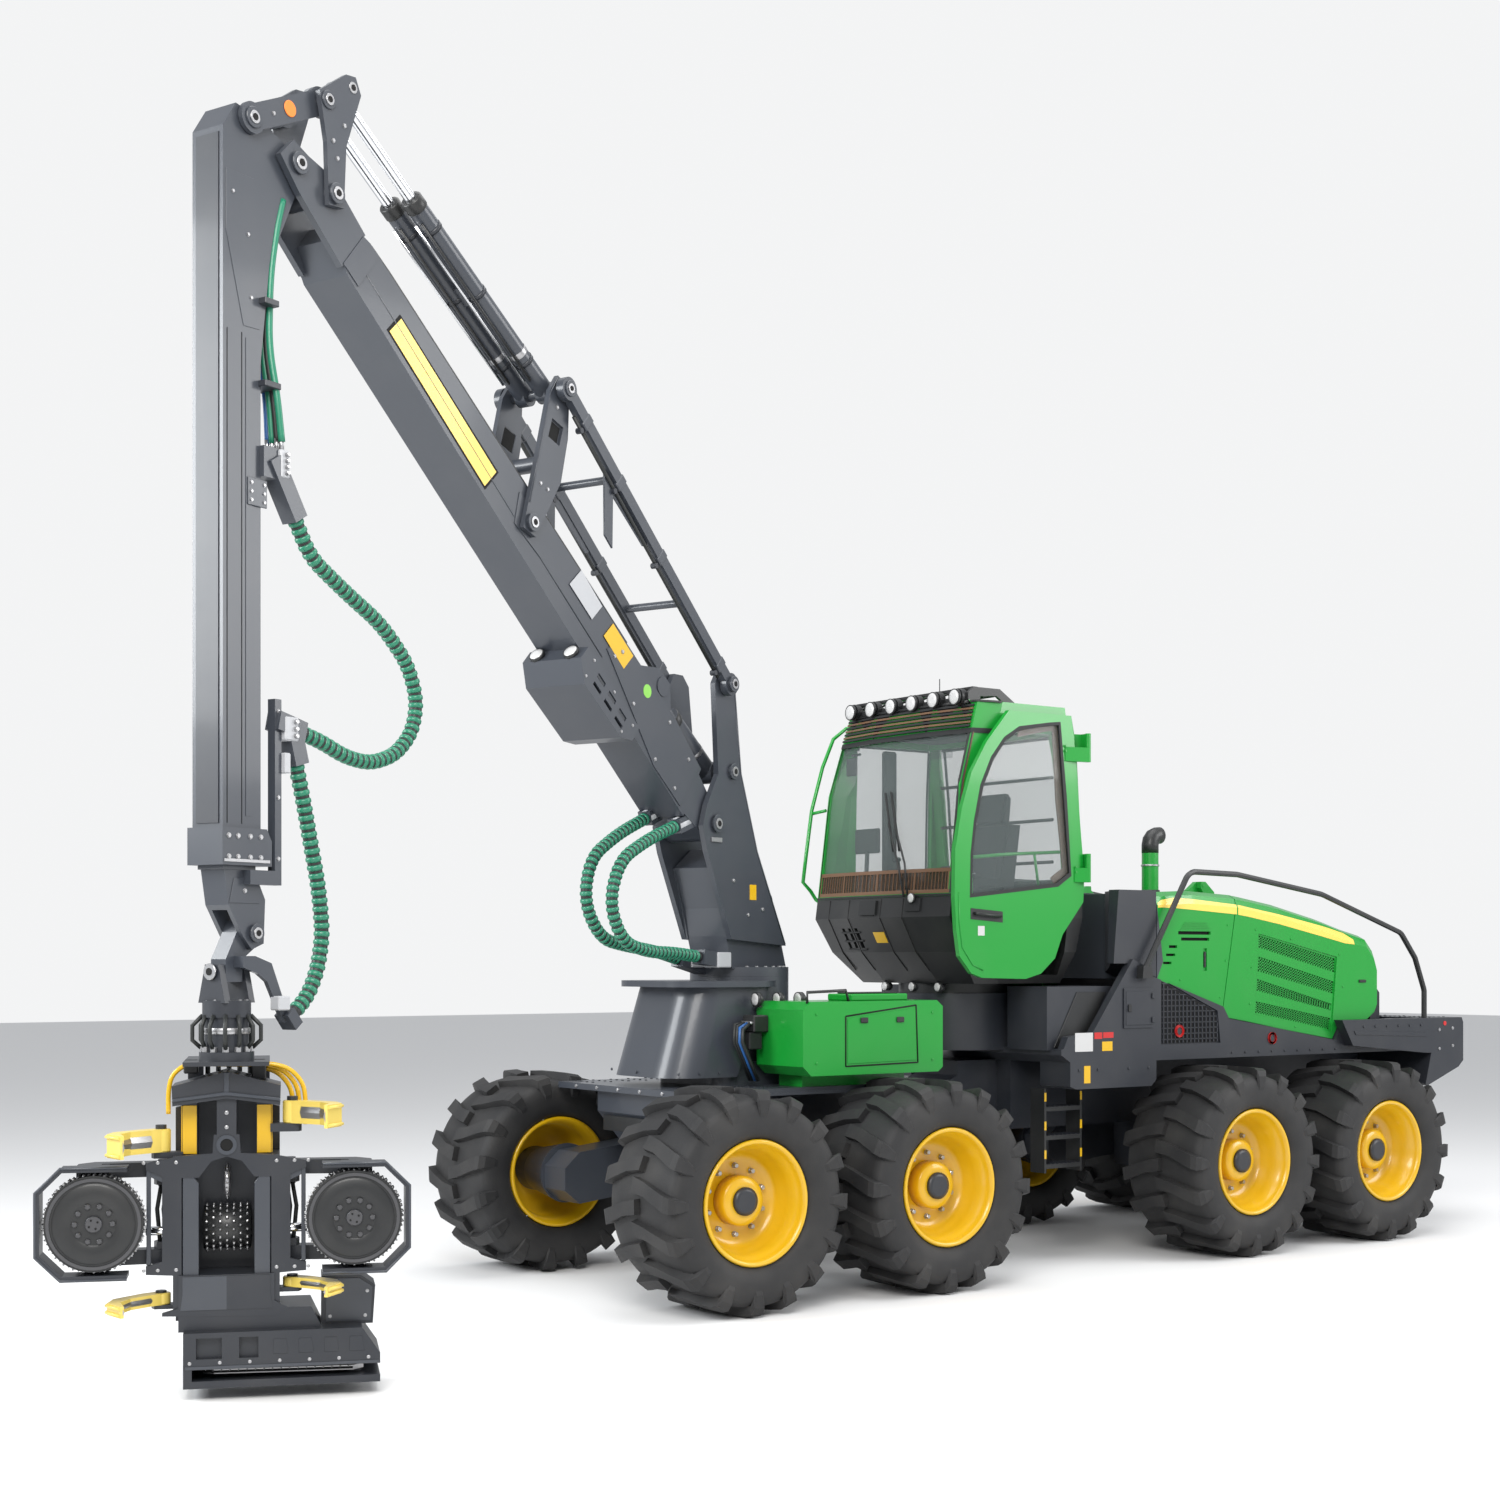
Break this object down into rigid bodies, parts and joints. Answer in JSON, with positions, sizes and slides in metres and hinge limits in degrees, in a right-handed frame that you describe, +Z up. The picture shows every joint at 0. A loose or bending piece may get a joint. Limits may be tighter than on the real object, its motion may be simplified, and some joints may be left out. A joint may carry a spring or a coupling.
{
  "type": "forestry harvester",
  "caption": "Eight-wheeled articulated forestry harvester with a turning cab, a folding crane and a tree felling and delimbing head.",
  "frame": {"origin": "centre of the bounding box at floor level", "axes": "+X forward, +Y to the machine's left, +Z up"},
  "size_m": [11.5166, 3.7908, 6.575],
  "materials": {
    "tyre": "black lugged rubber",
    "rim_yellow": "gloss yellow paint",
    "charcoal": "satin charcoal paint",
    "green": "gloss green paint",
    "black": "satin black paint",
    "seat_black": "dark woven seat cover",
    "glass": "clear, slightly tinted",
    "chrome": "polished chrome rod",
    "steel": "bare worn steel",
    "knife_yellow": "worn yellow paint",
    "hose": "black hose sleeve"
  },
  "bodies": {
    "rear": {"rear_frame": "charcoal", "cowl": "green", "guard_rails": "black", "rear_bogies": "charcoal"},
    "front": {"front_frame": "charcoal", "front_bogies": "charcoal", "side_box": "green", "crane_skirt": "charcoal"},
    "cab": {"cab_base": "black", "cab_frame": "green", "cab_glass": "glass", "seat": "seat_black"},
    "cab_door": {"door": "green", "door_glass": "glass"},
    "hood": {"hood": "green"},
    "crane_column": {"column": "charcoal", "hose_column_right": "hose", "hose_column_left": "hose"},
    "boom": {"main_boom": "charcoal"},
    "boom_cylinder": {"lift_cylinder": "black"},
    "boom_rod": {"lift_rod": "chrome"},
    "links": {"lower_links": "charcoal"},
    "rocker": {"rocker": "charcoal"},
    "jib_barrels": {"jib_cylinders": "black"},
    "jib_piston_rods": {"jib_rods": "chrome"},
    "lever": {"lever": "charcoal"},
    "knuckle_link": {"jib_link": "charcoal"},
    "jib": {"jib": "charcoal", "hose_jib": "hose"},
    "extension": {"jib_extension": "charcoal", "hose_head": "hose"},
    "hanger": {"hanger": "charcoal"},
    "swivel": {"swivel": "black"},
    "yoke": {"head_yoke": "black"},
    "head": {"head_frame": "black"},
    "arm_left": {"feed_arm_left": "black"},
    "arm_right": {"feed_arm_right": "black"},
    "roller_left": {"feed_roller_left": "steel"},
    "roller_right": {"feed_roller_right": "steel"},
    "saw": {"saw_bar": "steel"},
    "upper_knife_left": {"upper_knife_left": "knife_yellow"},
    "upper_knife_right": {"upper_knife_right": "knife_yellow"},
    "lower_knife_left": {"lower_knife_left": "knife_yellow"},
    "lower_knife_right": {"lower_knife_right": "knife_yellow"},
    "wheel_front_left_1": {"tyre_front_left_1": "tyre", "rim_front_left_1": "rim_yellow"},
    "wheel_front_left_2": {"tyre_front_left_2": "tyre", "rim_front_left_2": "rim_yellow"},
    "wheel_front_right_1": {"tyre_front_right_1": "tyre", "rim_front_right_1": "rim_yellow"},
    "wheel_front_right_2": {"tyre_front_right_2": "tyre", "rim_front_right_2": "rim_yellow"},
    "wheel_rear_left_1": {"tyre_rear_left_1": "tyre", "rim_rear_left_1": "rim_yellow"},
    "wheel_rear_left_2": {"tyre_rear_left_2": "tyre", "rim_rear_left_2": "rim_yellow"},
    "wheel_rear_right_1": {"tyre_rear_right_1": "tyre", "rim_rear_right_1": "rim_yellow"},
    "wheel_rear_right_2": {"tyre_rear_right_2": "tyre", "rim_rear_right_2": "rim_yellow"}
  },
  "joints": [
    {"name": "frame_steering", "type": "hinge", "parent": "rear", "child": "front", "pos_m": [-0.88, -0.39, 1.055], "axis": [0, 0, -1], "range_deg": [-40, 40]},
    {"name": "cab_slew", "type": "hinge", "parent": "rear", "child": "cab", "pos_m": [-1.28, -0.39, 1.9], "axis": [0, 0, -1], "range_deg": [-80, 80]},
    {"name": "cab_door", "type": "hinge", "parent": "cab", "child": "cab_door", "pos_m": [-1.785, 0.457, 2.75], "axis": [0, 0, 1], "range_deg": [0, 80]},
    {"name": "hood", "type": "hinge", "parent": "rear", "child": "hood", "pos_m": [-3.188, -0.39, 2.665], "axis": [0, 1, 0], "range_deg": [0, 60]},
    {"name": "crane_slew", "type": "hinge", "parent": "front", "child": "crane_column", "pos_m": [0.62, -0.39, 1.99], "axis": [0, 0, -1], "range_deg": [-87.5, 132.5]},
    {"name": "boom_lift", "type": "hinge", "parent": "crane_column", "child": "boom", "pos_m": [1.16509, -0.16422, 2.978], "axis": [0.3827, -0.9239, 0], "range_deg": [-35, 25], "deforming": ["hose_column_right", "hose_column_left"]},
    {"name": "lift_cylinder_swing", "type": "hinge", "parent": "crane_column", "child": "boom_cylinder", "pos_m": [0.98493, -0.23884, 3.326], "axis": [0.3827, -0.9239, 0], "range_deg": [-60, 60]},
    {"name": "lift_rod_slide", "type": "slide", "parent": "boom_cylinder", "child": "boom_rod", "axis": [0.7516, 0.3113, 0.5816], "range_m": [-0.45, 0.45]},
    {"name": "lower_links_swing", "type": "hinge", "parent": "crane_column", "child": "links", "pos_m": [1.06808, -0.2044, 3.88], "axis": [0.3827, -0.9239, 0], "range_deg": [-60, 60]},
    {"name": "rocker_swing", "type": "hinge", "parent": "boom", "child": "rocker", "pos_m": [2.92046, 0.56288, 4.575], "axis": [0.3827, -0.9239, 0], "range_deg": [-60, 60]},
    {"name": "jib_cylinders_swing", "type": "hinge", "parent": "rocker", "child": "jib_barrels", "pos_m": [2.67101, 0.45956, 5.383], "axis": [0.3827, -0.9239, 0], "range_deg": [-75, 75]},
    {"name": "jib_rods_slide", "type": "slide", "parent": "jib_barrels", "child": "jib_piston_rods", "axis": [0.7738, 0.3205, 0.5464], "range_m": [-0.62, 0.62]},
    {"name": "jib", "type": "hinge", "parent": "boom", "child": "jib", "pos_m": [4.5973, 1.25745, 6.028], "axis": [-0.3827, 0.9239, 0], "range_deg": [-75, 20]},
    {"name": "lever_swing", "type": "hinge", "parent": "boom", "child": "lever", "pos_m": [4.39497, 1.17364, 5.938], "axis": [-0.3827, 0.9239, 0], "range_deg": [-75, 75]},
    {"name": "knuckle_link_swing", "type": "hinge", "parent": "lever", "child": "knuckle_link", "pos_m": [4.44024, 1.1924, 6.392], "axis": [-0.3827, 0.9239, 0], "range_deg": [-75, 75]},
    {"name": "jib_extension", "type": "slide", "parent": "jib", "child": "extension", "axis": [0, 0, 1], "range_m": [-1.2, 0], "deforming": ["hose_jib"]},
    {"name": "hanger_swing", "type": "hinge", "parent": "extension", "child": "hanger", "pos_m": [4.80517, 1.34356, 2.236], "axis": [0.3827, -0.9239, 0], "range_deg": [-35, 35], "deforming": ["hose_head"]},
    {"name": "swivel_swing", "type": "hinge", "parent": "hanger", "child": "swivel", "pos_m": [4.90495, 1.38489, 2.05], "axis": [0.9239, 0.3827, 0], "range_deg": [-25, 25]},
    {"name": "rotator", "type": "hinge", "parent": "swivel", "child": "yoke", "pos_m": [4.90495, 1.38489, 1.64], "axis": [0, 0, 1], "continuous": true},
    {"name": "head_tilt", "type": "hinge", "parent": "yoke", "child": "head", "pos_m": [4.7135, 0.93384, 1], "axis": [-0.9205, 0.3907, 0], "range_deg": [0, 90]},
    {"name": "feed_arm_left", "type": "hinge", "parent": "head", "child": "arm_left", "pos_m": [5.13422, 1.15721, 0.64], "axis": [0, 0, 1], "range_deg": [0, 25]},
    {"name": "feed_roller_left", "type": "hinge", "parent": "arm_left", "child": "roller_left", "pos_m": [5.50805, 1.27011, 0.87], "axis": [0.3907, 0.9205, 0], "continuous": true},
    {"name": "feed_arm_right", "type": "hinge", "parent": "head", "child": "arm_right", "pos_m": [4.58191, 1.39164, 0.64], "axis": [0, 0, -1], "range_deg": [0, 25]},
    {"name": "feed_roller_right", "type": "hinge", "parent": "arm_right", "child": "roller_right", "pos_m": [4.40345, 1.73899, 0.87], "axis": [0.3907, 0.9205, 0], "continuous": true},
    {"name": "upper_knife_left", "type": "hinge", "parent": "head", "child": "upper_knife_left", "pos_m": [5.15905, 1.19012, 1.18], "axis": [0, 0, 1], "range_deg": [0, 55]},
    {"name": "upper_knife_right", "type": "hinge", "parent": "head", "child": "upper_knife_right", "pos_m": [4.58834, 1.43237, 1.31], "axis": [0, 0, -1], "range_deg": [0, 55]},
    {"name": "lower_knife_left", "type": "hinge", "parent": "head", "child": "lower_knife_left", "pos_m": [5.15905, 1.19012, 0.445], "axis": [0, 0, 1], "range_deg": [0, 55]},
    {"name": "lower_knife_right", "type": "hinge", "parent": "head", "child": "lower_knife_right", "pos_m": [4.58834, 1.43237, 0.512], "axis": [0, 0, -1], "range_deg": [0, 55]},
    {"name": "saw_bar", "type": "hinge", "parent": "head", "child": "saw", "pos_m": [4.32921, 1.56409, 0.11], "axis": [0, 0, 1], "range_deg": [0, 110]},
    {"name": "wheel_front_left_1", "type": "hinge", "parent": "front", "child": "wheel_front_left_1", "pos_m": [1.52, 0.75, 0.6725], "axis": [0, 1, 0], "continuous": true},
    {"name": "wheel_front_left_2", "type": "hinge", "parent": "front", "child": "wheel_front_left_2", "pos_m": [0.02, 0.75, 0.6725], "axis": [0, 1, 0], "continuous": true},
    {"name": "wheel_front_right_1", "type": "hinge", "parent": "front", "child": "wheel_front_right_1", "pos_m": [1.52, -1.53, 0.6725], "axis": [0, 1, 0], "continuous": true},
    {"name": "wheel_front_right_2", "type": "hinge", "parent": "front", "child": "wheel_front_right_2", "pos_m": [0.02, -1.53, 0.6725], "axis": [0, 1, 0], "continuous": true},
    {"name": "wheel_rear_left_1", "type": "hinge", "parent": "rear", "child": "wheel_rear_left_1", "pos_m": [-2.83, 0.75, 0.6725], "axis": [0, 1, 0], "continuous": true},
    {"name": "wheel_rear_left_2", "type": "hinge", "parent": "rear", "child": "wheel_rear_left_2", "pos_m": [-4.33, 0.75, 0.6725], "axis": [0, 1, 0], "continuous": true},
    {"name": "wheel_rear_right_1", "type": "hinge", "parent": "rear", "child": "wheel_rear_right_1", "pos_m": [-2.83, -1.53, 0.6725], "axis": [0, 1, 0], "continuous": true},
    {"name": "wheel_rear_right_2", "type": "hinge", "parent": "rear", "child": "wheel_rear_right_2", "pos_m": [-4.33, -1.53, 0.6725], "axis": [0, 1, 0], "continuous": true}
  ],
  "couplings": [
    {"joint": "lift_cylinder_swing", "follows": "boom_lift", "ratio": 1},
    {"joint": "lift_rod_slide", "follows": "boom_lift", "m_per_rad": -0.38},
    {"joint": "lower_links_swing", "follows": "boom_lift", "ratio": 1.09},
    {"joint": "rocker_swing", "follows": "boom_lift", "ratio": -1},
    {"joint": "jib_cylinders_swing", "follows": "boom_lift", "ratio": 1.05},
    {"joint": "jib_rods_slide", "follows": "jib", "m_per_rad": 0.409},
    {"joint": "lever_swing", "follows": "jib", "ratio": 0.75},
    {"joint": "knuckle_link_swing", "follows": "jib", "ratio": -0.2}
  ]
}
